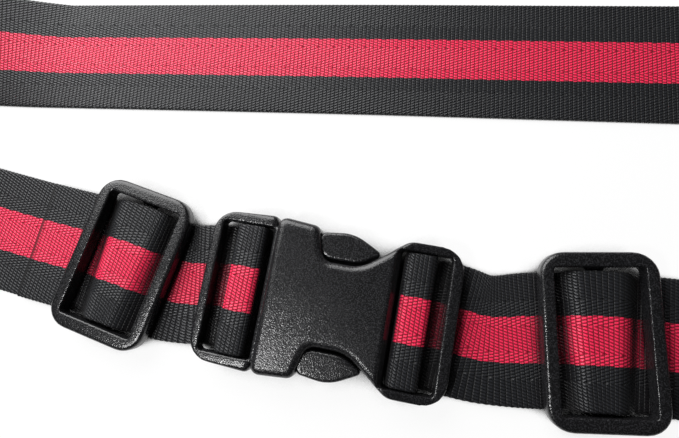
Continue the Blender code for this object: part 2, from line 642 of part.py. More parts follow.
def tail_strap(name, route, bar_at, sign, glide_reach, tail_reach, parts, material):
    """A tail: wrapped round the buckle's bar, then on top of the loop, through the tri-glide.

    sign is 1 where the route leaves the bar towards the loop and -1 where it comes back to it.
    """
    wrap = wrap_path()
    marks = spaced(wrap[-1, 0] + FLAT_STEP / 8, tail_reach, glide_reach)
    below = np.stack([marks, crest(marks - glide_reach)], axis=1)
    slope = np.gradient(below, marks, axis=0)
    normal = np.stack([-slope[:, 1], slope[:, 0]], axis=1) / np.linalg.norm(slope, axis=1)[:, None]
    line = np.concatenate([wrap, below + LAYER * normal])
    travel = np.gradient(line, axis=0)
    x, y, heading, _ = route.at(bar_at + sign * line[:, 0])
    ahead = sign * np.stack([np.cos(heading), np.sin(heading), np.zeros_like(heading)], axis=1)
    runs = ahead * travel[:, :1] + np.array([0, 0, 1]) * travel[:, 1:]
    sides = np.stack([ahead[:, 1], -ahead[:, 0], np.zeros_like(heading)], axis=1)
    places = np.stack([x, y, line[:, 1]], axis=1)
    return ribbon(name, places, runs, sides, neck(line[:, 0], glide_reach), parts, material)


def build_webbing(route, parts, material):
    """The webbing in stretches that meet face to face: two tails, two fronts, two turns, the back."""
    start = GAP / 2 + (CENTRE_BAR_WIDTH / 2 + GAP + WEBBING_THICK / 2) / 4 + GAP
    end = route.length
    left_turn = route.turn_start(LEFT_FRONT_ROUTE, -1)
    back_start = route.turn_start(BACK_ROUTE, 0)
    back_end = route.turn_start(BACK_ROUTE, -1)
    right_turn = route.turn_start(RIGHT_FRONT_ROUTE, 0)

    def loop_marks(first, last):
        return np.linspace(first + GAP, last, math.ceil((last - first) / LOOP_STEP))

    left = spaced(start, left_turn, LEFT_GLIDE_REACH)
    right = spaced(start, end - right_turn - GAP, RIGHT_GLIDE_REACH)
    fronts = {
        "left_front_strap": (left, left, LEFT_GLIDE_REACH),
        "right_front_strap": ((end - right)[::-1], right[::-1], RIGHT_GLIDE_REACH),
    }
    for name, (marks, distances, reach) in fronts.items():
        lower_strap(name, route, marks, crest(distances - reach), neck(distances, reach), parts, material)
    back = np.linspace(back_start + GAP, back_end, math.ceil((back_end - back_start) / FLAT_STEP))
    stretches = {
        "left_loop_strap": (loop_marks(left_turn, back_start), LOOP_CELLS),
        "right_loop_strap": (loop_marks(back_end, right_turn), LOOP_CELLS),
        "back_strap": (back, 1),
    }
    for name, (marks, cells) in stretches.items():
        level = np.full(len(marks), MAIN_Z)
        lower_strap(name, route, marks, level, WEBBING_WIDTH, parts, material, cells)
    tails = {
        "left_tail_strap": (0, 1, LEFT_GLIDE_REACH, LEFT_TAIL_REACH),
        "right_tail_strap": (end, -1, RIGHT_GLIDE_REACH, RIGHT_TAIL_REACH),
    }
    for name, values in tails.items():
        tail_strap(name, route, *values, parts, material)


def build_belt():
    """Builds the whole belt."""
    for old in list(bpy.data.objects):
        bpy.data.objects.remove(old)
    parts = make_collection("gait_belt")
    tools = make_collection("gait_belt_cutters")
    plastics = {name: make_material(name, PLASTIC_BLACK, 0.5) for name in
                ("socket_plastic", "insert_plastic", "arm_plastic", "glide_plastic")}
    webbing = make_material("striped_webbing", WEBBING_BLACK, 0.8)
    route = find_route()
    build_socket(parts, tools, plastics["socket_plastic"])
    insert = build_insert(parts, tools, plastics["insert_plastic"])
    for name, sign in (("rear_release_arm", 1), ("front_release_arm", -1)):
        build_arm(name, sign, parts, plastics["arm_plastic"]).parent = insert
    glides = {
        "left_tri_glide": (LEFT_GLIDE_REACH, LEFT_GLIDE_TURN),
        "right_tri_glide": (route.length - RIGHT_GLIDE_REACH, RIGHT_GLIDE_TURN),
    }
    for name, (distance, turn) in glides.items():
        x, y, heading, _ = route.at(distance)
        build_glide(name, (x, y), heading + turn, parts, tools, plastics["glide_plastic"])
    build_webbing(route, parts, webbing)


build_belt()
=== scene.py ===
"""Finish of the gait belt: striped webbing, a side-release buckle and two tri-glides on a white table.

Frame: metres, +Z up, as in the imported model. The origin is on the table under the buckle's middle, +X runs
from the insert to the socket, and +Y from the buckle towards the back of the loop.
"""

import math

import bmesh
import bpy
import numpy as np
from mathutils import Matrix, Vector


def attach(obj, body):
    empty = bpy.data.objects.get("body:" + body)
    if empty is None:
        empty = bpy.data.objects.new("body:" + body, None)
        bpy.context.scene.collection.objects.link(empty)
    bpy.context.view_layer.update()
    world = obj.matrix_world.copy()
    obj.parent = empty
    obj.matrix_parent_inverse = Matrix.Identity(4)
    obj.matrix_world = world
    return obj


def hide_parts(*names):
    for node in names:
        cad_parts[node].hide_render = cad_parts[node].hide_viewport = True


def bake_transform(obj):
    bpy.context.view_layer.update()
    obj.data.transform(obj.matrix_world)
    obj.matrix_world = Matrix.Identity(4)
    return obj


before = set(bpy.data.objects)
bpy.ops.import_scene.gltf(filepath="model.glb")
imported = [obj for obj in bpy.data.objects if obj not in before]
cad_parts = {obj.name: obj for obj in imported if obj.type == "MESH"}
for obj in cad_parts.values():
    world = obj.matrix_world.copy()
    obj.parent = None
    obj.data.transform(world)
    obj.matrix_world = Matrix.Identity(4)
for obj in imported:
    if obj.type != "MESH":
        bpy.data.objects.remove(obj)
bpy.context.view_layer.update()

MM = 0.001

# Camera: picture width and focal length in pixels, and how the table lies before it
PICTURE_WIDTH = 679
FOCAL_PIXELS = 500
SENSOR_WIDTH = 36
CAMERA_PLACE = (0.0249, 0.0056, 0.2008)
TABLE_TILT = math.radians(11.11)
TABLE_SWING = math.radians(32.6)
BELT_TURN = math.radians(10.42)
NEAR_CLIP = 10 * MM

# Webbing
WEBBING_WIDTH = 50 * MM
WEBBING_THICK = 1.4 * MM
WEBBING_CUT_LENGTH = 1524 * MM
LAYER = 1.8 * MM
LEFT_TAIL_REACH = 95.5 * MM
RIGHT_TAIL_REACH = 115 * MM
PIECE_GAP = 0.3 * MM

# Wrap round a buckle bar: heights and reaches of the webbing's centre line
INSERT_BAR_X = -33.2 * MM
SOCKET_BAR_X = 33.1 * MM
BAR_REACH = 5.5 * MM
BAR_CROWN_Z = 11.0 * MM
WRAP_BEND = 2.2 * MM
WRAP_SWELL = 0.5 * MM
WRAP_START = 1.5 * MM
WRAP_ARC_POINTS = 14
WRAP_LEAVE = 2.2 * WRAP_BEND
MAIN_Z = WEBBING_THICK / 2
TAIL_Z = MAIN_Z + LAYER

# Hump over a tri-glide's bar
LEFT_GLIDE_REACH = 52 * MM
RIGHT_GLIDE_REACH = 68.5 * MM
HUMP_Z = 6.9 * MM
HUMP_TOP = 4.6 * MM
HUMP_FOOT = 14.5 * MM

# Neck between a buckle half and its tri-glide
NECK_SHARE = 0.045
NECK_LENGTH = 22 * MM
NECK_OFFSET = -5.0 * MM

# Route of the strap on the table, from the insert's bar round the loop: x and y in millimetres, roll in
# degrees. Roll 0 has the outer face up, 90 stands on edge and 180 has the inner face up.
LEFT_FRONT_ROUTE = [
    (-22, 0, 0), (-33, 0, 0), (-40, 0, 0), (-47, -0.4, 0), (-57, -2.0, 0), (-69, -1.7, 0),
    (-85, 1.2, 0), (-100, 2.5, 0), (-115, 3.5, 0), (-130, 4.6, 0), (-150, 6.4, 0),
]
LEFT_TURN_ROUTE = [
    (-180, 9.2, 6), (-212, 12.4, 30), (-243, 17.2, 60), (-268, 28, 82), (-277, 45.5, 90),
    (-268, 62, 98), (-243, 72.8, 120), (-212, 79.2, 147), (-178, 84.0, 167),
]
BACK_ROUTE = [(-140, 88.6, 180), (-75, 96.4, 180), (0, 105.2, 180), (75, 113.5, 180), (150, 121.8, 180)]
# The right turn's x values are from the end of the back stretch, which the cut length sets
RIGHT_TURN_ROUTE = [
    (0, 128.5, 174), (42, 133.5, 152), (82, 132.5, 124), (114, 116, 102), (127, 84, 90),
    (118, 52.5, 78), (90, 32.5, 56), (52, 22.5, 28), (14, 17, 6),
]
RIGHT_FRONT_ROUTE = [
    (165, 11.6, 0), (140, 8.7, 0), (120, 7.2, 0), (101, 5.6, 0), (80, 1.6, 0), (60, -1.6, 0),
    (47, -0.4, 0), (40, 0, 0), (33, 0, 0), (22, 0, 0),
]
RIGHT_TURN_FIRST_X = 215 * MM
SPAN_STEPS = 48
ROUTE_TRIES = 12

# Weave
RIB_PITCH = 1.7 * MM
RIB_STEPS = 4
RIB_HEIGHT = 0.06 * MM
EDGE_SCALLOP = 0.1 * MM
ACROSS_STEPS = 37
EDGE_CROWDING = 1.8
EDGE_ROUNDNESS = 60
TICK_PITCH = 1.18 * MM
TICK_SLANT = 0.55
BESIDE_SLANT = -0.15
TICK_HEIGHT = 0.3 * MM
DIMPLE_ROWS = (0.096, 0.29)
DIMPLE_RIBS = 4
DIMPLE_DEPTH = 0.25 * MM
DIMPLE_HALF_WIDTH = 0.5 * MM
DIMPLE_HALF_RIBS = 0.6
DIMPLE_SHADE = 0.8
STRIPE_HALF_SHARE = 0.175
STRIPE_STEP = 0.004
CLOUD_SCALE = 900
CLOUD_HEIGHT = 0.03 * MM
CLOUD_LOW = 0.9
CLOUD_GAIN = 0.6
GAP_ROUGHNESS = 0.6
YARN_GLOSS = 0.3
FOLD_ANGLE = math.radians(50)
SEAL_LENGTH = 1.6 * MM
SEAL_SHADE = 0.75
BLACK_YARN = (0.018, 0.019, 0.022, 1)
BLACK_GAP = (0.001, 0.001, 0.0015, 1)
RED_YARN = (0.94, 0.03, 0.1, 1)
RED_GAP = (0.24, 0.003, 0.016, 1)
# Painted shade: where nearer pieces hide the sky within the reach, as in deep slots and beside bars and
# wraps, the webbing's colour is drawn to this near-black. The melted cut end takes the same dark colour.
PAINTED_SHADE_AND_SEAL = (0.002, 0.0015, 0.002, 1)
PAINTED_SHADE_REACH = 9 * MM
PAINTED_SHADE_FROM = 0.42
PAINTED_SHADE_TO = 0.8

# Moulded plastic
MOULD_CELL = 0.5 * MM
POLISH_SHARE = 0.5
POLISH_ROUNDS = 4
PLASTIC_DARK = (0.005, 0.005, 0.0055, 1)
PLASTIC_SPECK = (0.02, 0.02, 0.022, 1)
GRAIN_SCALE = 2300
GRAIN_HEIGHT = 0.075 * MM
GRAIN_ROUGHNESS = 0.04
SPECK_FROM = 0.45
SPECK_GAIN = 4
BROAD_SCALE = 90
BROAD_HEIGHT = 0.03 * MM
BROAD_ROUGHNESS = 0.08
PLASTIC_ROUGHNESS = 0.18

# Table, a little under the belt
TABLE_HALF = 3.0
TABLE_Z = -0.1 * MM
TABLE_WHITE = (0.9, 0.9, 0.9, 1)
TABLE_SHADE = (0.02, 0.02, 0.02, 1)
TABLE_GLOW = 0.9
OPEN_REACH = 20 * MM
OPEN_FROM = 0.4
OPEN_TO = 0.62

# Light
WHITE = (1, 1, 1, 1)
SKY_STRENGTH = 0.04
SKY_SAMPLES = 8
FRONT_LAMP_PLACE = (-0.16, -0.15, 0.38)
FRONT_LAMP_TARGET = (0, 0, 0)
FRONT_LAMP_SIZE = 0.07
FRONT_LAMP_POWER = 1.0
BACK_LAMP_PLACE = (-0.3, 0.4, 0.3)
BACK_LAMP_TARGET = (0, 0.1, 0)
BACK_LAMP_SIZE = 0.6
BACK_LAMP_POWER = 7.0


class Value:
    """A shader socket that takes part in sums: each operator adds one Math node to its tree."""

    def __init__(self, finish, socket):
        self.finish = finish
        self.socket = socket

    def math(self, operation, *others):
        """A Math node on this value and others."""
        return self.finish.node("ShaderNodeMath", {"operation": operation}, {
            i: value for i, value in enumerate((self, *others))})

    def __add__(self, other):
        return self.math("ADD", other)

    __radd__ = __add__

    def __mul__(self, other):
        return self.math("MULTIPLY", other)

    __rmul__ = __mul__

    def __sub__(self, other):
        return self.math("SUBTRACT", other)

    def __rsub__(self, other):
        return self * -1 + other

    def __truediv__(self, other):
        return self.math("DIVIDE", other)

    def __pow__(self, other):
        return self.math("POWER", other)

    def __abs__(self):
        return self.math("ABSOLUTE")

    def __lt__(self, other):
        return self.math("LESS_THAN", other)

    def __gt__(self, other):
        return self.math("GREATER_THAN", other)

    def floor(self):
        return self.math("FLOOR")

    def fract(self):
        return self.math("FRACT")

    def clamp(self):
        """This value held between 0 and 1."""
        return self.finish.node("ShaderNodeClamp", {}, {"Value": self})


class Finish:
    """A procedural material: a Principled shader whose sockets are fed by nodes."""

    def __init__(self, name, **constants):
        self.material = bpy.data.materials.new(name)
        self.material.use_nodes = True
        self.tree = self.material.node_tree
        self.shader = self.tree.nodes["Principled BSDF"]
        for socket, value in constants.items():
            self.shader.inputs[socket.replace("_", " ")].default_value = value

    def node(self, kind, settings, inputs, output=0):
        """A node of a kind, with its settings set first, then its sockets' values or links."""
        made = self.tree.nodes.new(kind)
        for key, value in settings.items():
            setattr(made, key, value)
        for key, value in inputs.items():
            if isinstance(value, Value):
                self.tree.links.new(value.socket, made.inputs[key])
            else:
                made.inputs[key].default_value = value
        return Value(self, made.outputs[output])

    def mix(self, share, first, second):
        """A colour between two colours."""
        return self.node("ShaderNodeMix", {"data_type": "RGBA"}, {0: share, 6: first, 7: second}, 2)

    def openness(self, reach, start, end):
        """0 where nearer pieces hide the sky, within a reach, rising to 1 where it is open."""
        sky = self.node("ShaderNodeAmbientOcclusion", {"samples": SKY_SAMPLES}, {"Distance": reach}, 1)
        return ((sky - start) / (end - start)).clamp()

    def feed(self, socket, value):
        """Links a value to one of the shader's sockets."""
        self.tree.links.new(value.socket, self.shader.inputs[socket])

    def bump(self, height):
        """Links a height in metres to the shader's normal."""
        inputs = {"Strength": 1, "Distance": 1, "Height": height}
        self.feed("Normal", self.node("ShaderNodeBump", {}, inputs))


def webbing_finish():
    """Woven webbing: slanted yarn ticks in ribs, a red middle stripe, and rows of dimples.

    The piece's UV map gives metres along and across the webbing. A rib is one pitch along. In a rib the
    ticks repeat across, shifted by half a pitch from rib to rib. They slant in the middle and near the edges,
    and lie nearly level between the dimple rows. A cut end is melted smooth and darker, as far as its seal
    attribute says. Deep slots and other places that see little of the sky get painted shade: their colour is
    drawn towards near-black.
    """
    finish = Finish("striped_webbing", Sheen_Weight=0.02, Sheen_Roughness=0.4, Specular_IOR_Level=0.32)
    place = finish.node("ShaderNodeUVMap", {"uv_map": "weave"}, {})
    along = finish.node("ShaderNodeSeparateXYZ", {}, {0: place}, 0)
    across = finish.node("ShaderNodeSeparateXYZ", {}, {0: place}, 1)
    rib = along / RIB_PITCH
    inside = rib.fract() - 0.5
    from_middle = abs(across / WEBBING_WIDTH)
    inner_row, outer_row = DIMPLE_ROWS
    slanted = (from_middle < inner_row) + (from_middle > outer_row)
    slant = BESIDE_SLANT + (TICK_SLANT - BESIDE_SLANT) * slanted
    phase = across / TICK_PITCH + 0.5 * rib.floor() - inside * slant
    crown = 1 - (2 * abs(phase.fract() - 0.5)) ** 2
    ends = 1 - (2 * abs(inside)) ** 4
    seal = finish.node("ShaderNodeAttribute", {"attribute_name": "seal"}, {}, 2)
    tick = crown * ends * (1 - seal)
    beside = abs(from_middle - inner_row).math("MINIMUM", abs(from_middle - outer_row))
    along_row = abs((rib / DIMPLE_RIBS).fract() - 0.5) * DIMPLE_RIBS
    off_row = beside * WEBBING_WIDTH / DIMPLE_HALF_WIDTH
    dimple = (1 - off_row ** 2 - (along_row / DIMPLE_HALF_RIBS) ** 2).clamp()
    every_other = (rib * 0.5).floor().math("MODULO", 2)
    stripe = (from_middle + STRIPE_STEP * every_other) < STRIPE_HALF_SHARE
    cloud = finish.node("ShaderNodeTexNoise", {}, {"Vector": place, "Scale": CLOUD_SCALE, "Detail": 3})
    shown = (tick ** 2 * (CLOUD_LOW + CLOUD_GAIN * cloud)).clamp() * (1 - DIMPLE_SHADE * dimple)
    black = finish.mix(shown, BLACK_GAP, BLACK_YARN)
    red = finish.mix(shown, RED_GAP, RED_YARN)
    # Painted shade: the colour goes to near-black where ambient occlusion finds nearer pieces; the seal
    # darkens the melted cut end as well.
    unshaded_unsealed = finish.openness(PAINTED_SHADE_REACH, PAINTED_SHADE_FROM, PAINTED_SHADE_TO) * (1 - SEAL_SHADE * seal)
    finish.feed("Base Color", finish.mix(unshaded_unsealed, PAINTED_SHADE_AND_SEAL, finish.mix(stripe, black, red)))
    finish.feed("Roughness", GAP_ROUGHNESS - YARN_GLOSS * shown)
    finish.bump(tick * TICK_HEIGHT - dimple * DIMPLE_DEPTH + cloud * CLOUD_HEIGHT)
    return finish.material


def plastic_finish():
    """Moulded black plastic: a fine spark-eroded grain with paler specks and broad gloss changes."""
    finish = Finish("black_plastic", Specular_IOR_Level=0.5)
    place = finish.node("ShaderNodeTexCoord", {}, {}, 3)
    grain = finish.node("ShaderNodeTexNoise", {}, {"Vector": place, "Scale": GRAIN_SCALE, "Detail": 0})
    broad = finish.node("ShaderNodeTexNoise", {}, {"Vector": place, "Scale": BROAD_SCALE, "Detail": 3})
    speck = ((grain - SPECK_FROM) * SPECK_GAIN).clamp()
    finish.feed("Base Color", finish.mix(speck, PLASTIC_DARK, PLASTIC_SPECK))
    finish.feed("Roughness", PLASTIC_ROUGHNESS + BROAD_ROUGHNESS * broad + GRAIN_ROUGHNESS * grain)
    finish.bump(grain * GRAIN_HEIGHT + broad * BROAD_HEIGHT)
    return finish.material


def smooth_curve(points):
    """Cubic Hermite spans through points, with slopes by central differences over the chord lengths."""
    chords = np.linalg.norm(np.diff(points[:, :2], axis=0), axis=1)
    slopes = np.gradient(points, np.concatenate([[0], np.cumsum(chords)]), axis=0)
    u = np.linspace(0, 1, SPAN_STEPS, endpoint=False)[None, :, None]
    step = chords[:, None, None]
    dense = (
        (2 * u**3 - 3 * u**2 + 1) * points[:-1, None] + (u**3 - 2 * u**2 + u) * step * slopes[:-1, None]
        + (3 * u**2 - 2 * u**3) * points[1:, None] + (u**3 - u**2) * step * slopes[1:, None]
    )
    return np.concatenate([dense.reshape(-1, 3), points[-1:]])


class StrapRoute:
    """The strap's centre line on the table, by distance from the insert's bar."""

    def __init__(self, turn_x):
        scale = np.array([MM, MM, math.pi / 180])
        turn = np.array(RIGHT_TURN_ROUTE) * scale + [turn_x, 0, 0]
        stretches = LEFT_FRONT_ROUTE, LEFT_TURN_ROUTE, BACK_ROUTE, RIGHT_FRONT_ROUTE
        left, left_turn, back, right = [np.array(stretch) * scale for stretch in stretches]
        self.table = smooth_curve(np.concatenate([left, left_turn, back, turn, right]))
        steps = np.linalg.norm(np.diff(self.table[:, :2], axis=0), axis=1)
        self.along = np.concatenate([[0], np.cumsum(steps)])
        self.along -= self.distance_at(INSERT_BAR_X, slice(0, 2 * SPAN_STEPS))
        self.length = self.distance_at(SOCKET_BAR_X, slice(-2 * SPAN_STEPS, None))
        run = np.gradient(self.table[:, :2], self.along, axis=0)
        self.heading = np.unwrap(np.arctan2(run[:, 1], run[:, 0]))

    def distance_at(self, x, span):
        """Distance along the route where a span of it passes x."""
        order = np.argsort(self.table[span, 0])
        return float(np.interp(x, self.table[span, 0][order], self.along[span][order]))

    def nearest(self, point):
        """Distance along the route of the place nearest to a route point."""
        gaps = np.linalg.norm(self.table[:, :2] - np.array(point[:2]) * MM, axis=1)
        return float(self.along[np.argmin(gaps)])

    def at(self, distance):
        """Place x and y, heading and roll at distances."""
        x, y, roll = [np.interp(distance, self.along, column) for column in self.table.T]
        return x, y, np.interp(distance, self.along, self.heading), np.clip(roll, 0, math.pi)


def find_route():
    """The route that, with both tails, is as long as the webbing's cut length."""
    wraps = 4 * BAR_REACH + 4 * (BAR_CROWN_Z - MAIN_Z) - 2 * TAIL_Z
    tails = LEFT_TAIL_REACH, RIGHT_TAIL_REACH
    turn_x = RIGHT_TURN_FIRST_X
    for _ in range(ROUTE_TRIES):
        route = StrapRoute(turn_x)
        turn_x += (WEBBING_CUT_LENGTH - tails[0] - tails[1] - wraps - route.length) / 2
    return route


def hump(distance):
    """Height of the lower layer over a tri-glide's bar: two parabolas that meet half way up each side."""
    share = np.clip((HUMP_FOOT - np.abs(distance)) / (HUMP_FOOT - HUMP_TOP), 0, 1)
    rise = np.where(share < 0.5, 2 * share**2, 1 - 2 * (1 - share) ** 2)
    return MAIN_Z + (HUMP_Z - MAIN_Z) * rise


def neck(distance, glide_reach):
    """Width of the webbing: drawn in by a bell curve between the buckle and a tri-glide."""
    middle = glide_reach / 2 + NECK_OFFSET
    return WEBBING_WIDTH * (1 - NECK_SHARE * np.exp(-((distance - middle) / NECK_LENGTH * 2) ** 2))


def even_marks(first, last):
    """Distances from first to last, a fraction of a rib apart."""
    return np.linspace(first, last, max(2, round(abs(last - first) / (RIB_PITCH / RIB_STEPS))) + 1)


def unit(vectors):
    """Vectors of length 1."""
    return vectors / np.linalg.norm(vectors, axis=1)[:, None]


class Line:
    """A stretch of webbing: centre places, directions across it, widths, and distance along the yarn."""

    def __init__(self, places, sides, widths, along, cut=False):
        self.places = places
        self.sides = sides
        self.widths = np.broadcast_to(widths, len(places))
        self.along = along
        self.seal = cut * np.clip(1 - (along[-1] - along) / SEAL_LENGTH, 0, 1)
        self.length = float(np.linalg.norm(np.diff(places, axis=0), axis=1).sum())


def lower_line(route, marks, heights, widths):
    """A stretch of the loop. Roll turns the width from level, over standing on edge, to level again.

    The lower edge stays on the table, so the centre rises by the sine of the roll times half the width.
    """
    x, y, heading, roll = route.at(marks)
    lift = np.sin(roll) * WEBBING_WIDTH / 2
    flat = MAIN_Z + np.abs(np.cos(roll)) * (heights - MAIN_Z)
    zero = np.zeros_like(heading)
    level = np.stack([np.sin(heading), -np.cos(heading), zero], axis=1)
    sides = np.cos(roll)[:, None] * level + np.sin(roll)[:, None] * np.array([0, 0, 1])
    return Line(np.stack([x, y, lift + flat], axis=1), sides, widths, marks)


def wrap_profile():
    """Centre line round a buckle bar as (distance, height): right angles rounded by quarter arcs.

    It starts under the bar, goes round its far side and over its top, which swells by a parabola, and
    comes down to lie on the loop.
    """
    corners = np.array([
        (WRAP_START, MAIN_Z), (-BAR_REACH, MAIN_Z), (-BAR_REACH, BAR_CROWN_Z), (BAR_REACH, BAR_CROWN_Z),
        (BAR_REACH, TAIL_Z), (BAR_REACH + WRAP_LEAVE, TAIL_Z),
    ])
    middle = corners[1:-1, None]
    back = unit(corners[:-2] - corners[1:-1])[:, None]
    ahead = unit(corners[2:] - corners[1:-1])[:, None]
    angle = np.linspace(0, math.pi / 2, WRAP_ARC_POINTS)[None, :, None]
    arcs = middle + WRAP_BEND * (back * (1 - np.sin(angle)) + ahead * (1 - np.cos(angle)))
    path = np.concatenate([corners[:1], arcs.reshape(-1, 2), corners[-1:]])
    dense = resample(path, even_marks(0, path_lengths(path)[-1]))
    top = dense[:, 1] > (BAR_CROWN_Z + MAIN_Z) / 2
    dense[:, 1] += WRAP_SWELL * top * np.clip(1 - (dense[:, 0] / BAR_REACH) ** 2, 0, 1)
    return dense


def path_lengths(path):
    """Distance along a line of points."""
    return np.concatenate([[0], np.cumsum(np.linalg.norm(np.diff(path, axis=0), axis=1))])


def resample(path, marks):
    """Points at distances along a line of points."""
    along = path_lengths(path)
    return np.stack([np.interp(marks, along, column) for column in path.T], axis=1)


def tail_profile(glide_reach, tail_reach):
    """A tail's centre line as (distance, height): the wrap, then one layer above the loop to the cut end."""
    wrap = wrap_profile()
    marks = even_marks(wrap[-1, 0] + RIB_PITCH, tail_reach)
    below = np.stack([marks, hump(marks - glide_reach)], axis=1)
    slope = unit(np.gradient(below, marks, axis=0))
    above = below + LAYER * np.stack([-slope[:, 1], slope[:, 0]], axis=1)
    return np.concatenate([wrap, above])


def tail_line(route, bar_at, sign, glide_reach, path, first, last):
    """Part of a tail, between two distances along its own centre line."""
    marks = even_marks(first, last)
    distance, height = resample(path, marks).T
    x, y, heading, _ = route.at(bar_at + sign * distance)
    sides = sign * np.stack([np.sin(heading), -np.cos(heading), np.zeros_like(heading)], axis=1)
    return Line(np.stack([x, y, height], axis=1), sides, neck(distance, glide_reach), marks,
                cut=last == path_lengths(path)[-1])


def webbing_piece(name, line, material):
    """A closed band carried along a line, put into a new object.

    Its section is a flat pad: half thickness times the root of 1 - share^n, for a share of the half width.
    Ribs lift both faces by a cosine of the distance along, and scallop the edges by the same cosine.
    """
    share = np.linspace(-1, 1, ACROSS_STEPS)
    share = np.sign(share) * (1 - (1 - np.abs(share)) ** EDGE_CROWDING)
    pad = np.sqrt(1 - np.abs(share) ** EDGE_ROUNDNESS)
    share = np.concatenate([share, share[-2:0:-1]])
    pad = np.concatenate([pad, -pad[-2:0:-1]])
    faces_up = unit(np.cross(line.sides, np.gradient(line.places, axis=0)))
    wave = np.cos(2 * math.pi * line.along / RIB_PITCH)[:, None]
    half_width = line.widths[:, None] / 2 + EDGE_SCALLOP * wave * np.abs(share) ** EDGE_ROUNDNESS
    half_thick = WEBBING_THICK / 2 - RIB_HEIGHT * (1 - wave) / 2
    points = (
        line.places[:, None] + line.sides[:, None] * (half_width * share)[..., None]
        + faces_up[:, None] * (half_thick * pad)[..., None]
    )
    weave = np.stack(np.broadcast_arrays(line.along[:, None], share * WEBBING_WIDTH / 2), axis=-1)
    rings, ring = points.shape[:2]
    index = np.arange(rings * ring).reshape(rings, ring)
    turned = np.roll(index, -1, axis=1)
    bands = np.stack([index[:-1], turned[:-1], turned[1:], index[1:]], axis=-1).reshape(-1, 4).tolist()
    upper = np.arange(ACROSS_STEPS)
    lower = (ring - upper) % ring
    ends = np.stack([upper[:-1], upper[1:], lower[1:], lower[:-1]], axis=1)
    ends = [list(dict.fromkeys(face)) for face in ends.tolist()]
    first_cap = [face[::-1] for face in ends]
    last_cap = [[(rings - 1) * ring + corner for corner in face] for face in ends]
    mesh = bpy.data.meshes.new(name)
    mesh.from_pydata(points.reshape(-1, 3), [], bands + first_cap + last_cap)
    corners = np.empty(len(mesh.loops), np.int32)
    mesh.loops.foreach_get("vertex_index", corners)
    mesh.uv_layers.new(name="weave").uv.foreach_set("vector", weave.reshape(-1, 2)[corners].ravel())
    mesh.attributes.new("seal", "FLOAT", "POINT").data.foreach_set("value", np.repeat(line.seal, ring))
    mesh.shade_smooth()
    mesh.set_sharp_from_angle(angle=FOLD_ANGLE)
    return show(name, mesh, material)


def show(name, mesh, material):
    """Puts a mesh with a material into the scene."""
    mesh.materials.append(material)
    piece = bpy.data.objects.new(name, mesh)
    bpy.context.scene.collection.objects.link(piece)
    return piece


def declare_webbing(node):
    """Hides the solid that a stretch of webbing stands for."""
    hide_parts(node)


def side_webbing(route, side, bar_at, sign, glide_reach, tail_reach, last, holder, slider, material):
    """The two layers of webbing on one side of the buckle, each in two pieces that meet on the tri-glide.

    The ends and bodies between which they would bend as the tri-glide slides are worked out, but not used.
    """
    def on_strap(distance):
        x, y, _, _ = route.at(bar_at + sign * distance)
        return float(x), float(y), MAIN_Z

    near = (on_strap(2 * BAR_REACH), on_strap(glide_reach - HUMP_FOOT))
    far = (on_strap(glide_reach + HUMP_FOOT), on_strap(tail_reach))
    path = tail_profile(glide_reach, tail_reach)
    lengths = path_lengths(path)
    later = slice(-len(path) // 2, None)
    crest = float(np.interp(glide_reach, path[later, 0], lengths[later]))
    stretches = {
        "inner": (0, crest, WRAP_START + PIECE_GAP, glide_reach, near, (holder, slider)),
        "outer": (crest, lengths[-1], glide_reach, last, far, (slider, holder)),
    }
    for label, (tail_from, tail_to, front_from, front_to, bend, bodies) in stretches.items():
        line = tail_line(route, bar_at, sign, glide_reach, path, tail_from, tail_to)
        piece = webbing_piece(f"{side}_tail_{label}", line, material)
        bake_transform(piece)
        declare_webbing(f"{side}_tail_strap")
        marks = even_marks(front_from, front_to)[::sign]
        heights = hump(marks - glide_reach)
        line = lower_line(route, bar_at + sign * marks, heights, neck(marks, glide_reach))
        piece = webbing_piece(f"{side}_front_{label}", line, material)
        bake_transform(piece)
        declare_webbing(f"{side}_front_strap")


def reach_back(line, ring):
    """How far one ring of a line reaches along y: its lowest and its highest place."""
    half = abs(line.sides[ring, 1]) * WEBBING_WIDTH / 2 + EDGE_SCALLOP
    return line.places[ring, 1] - half, line.places[ring, 1] + half


def loop_webbing(route, material):
    """The two turns and the back stretch.

    The left turn's reach at its two ends is worked out, but nothing makes it bend as the insert pulls away;
    the other two are attached to the belt.
    """
    left_turn = route.nearest(LEFT_FRONT_ROUTE[-1])
    back_start = route.nearest(BACK_ROUTE[0])
    back_end = route.nearest(BACK_ROUTE[-1])
    right_turn = route.nearest(RIGHT_FRONT_ROUTE[0])
    stretches = {
        "left_turn": (left_turn, back_start, "left_loop_strap"),
        "back_stretch": (back_start, back_end, "back_strap"),
        "right_turn": (back_end, right_turn, "right_loop_strap"),
    }
    for name, (first, last, node) in stretches.items():
        marks = even_marks(first, last)
        line = lower_line(route, marks, np.full(len(marks), MAIN_Z), WEBBING_WIDTH)
        piece = webbing_piece(name, line, material)
        if name == "left_turn":
            bend_from, bend_to = reach_back(line, 0)[1], reach_back(line, -1)[0]
            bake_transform(piece)
        else:
            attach(piece, "belt")
        declare_webbing(node)
    return left_turn, right_turn


def moulding(name, node, body, material):
    """A plastic piece: its solid's own shape, rebuilt in fine cells and polished to round its edges."""
    shape = bmesh.new()
    shape.from_mesh(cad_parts[node].data)
    bmesh.ops.remove_doubles(shape, verts=shape.verts, dist=1e-6)
    mesh = bpy.data.meshes.new(name)
    shape.to_mesh(mesh)
    shape.free()
    piece = show(name, mesh, material)
    cells = piece.modifiers.new("cells", "REMESH")
    cells.mode = "VOXEL"
    cells.voxel_size = MOULD_CELL
    polish = piece.modifiers.new("polish", "SMOOTH")
    polish.factor = POLISH_SHARE
    polish.iterations = POLISH_ROUNDS
    bpy.context.view_layer.update()
    polished = piece.evaluated_get(bpy.context.evaluated_depsgraph_get())
    piece.data = bpy.data.meshes.new_from_object(polished)
    piece.modifiers.clear()
    piece.data.materials.clear()
    piece.data.materials.append(material)
    piece.data.shade_smooth()
    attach(piece, body)
    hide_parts(node)


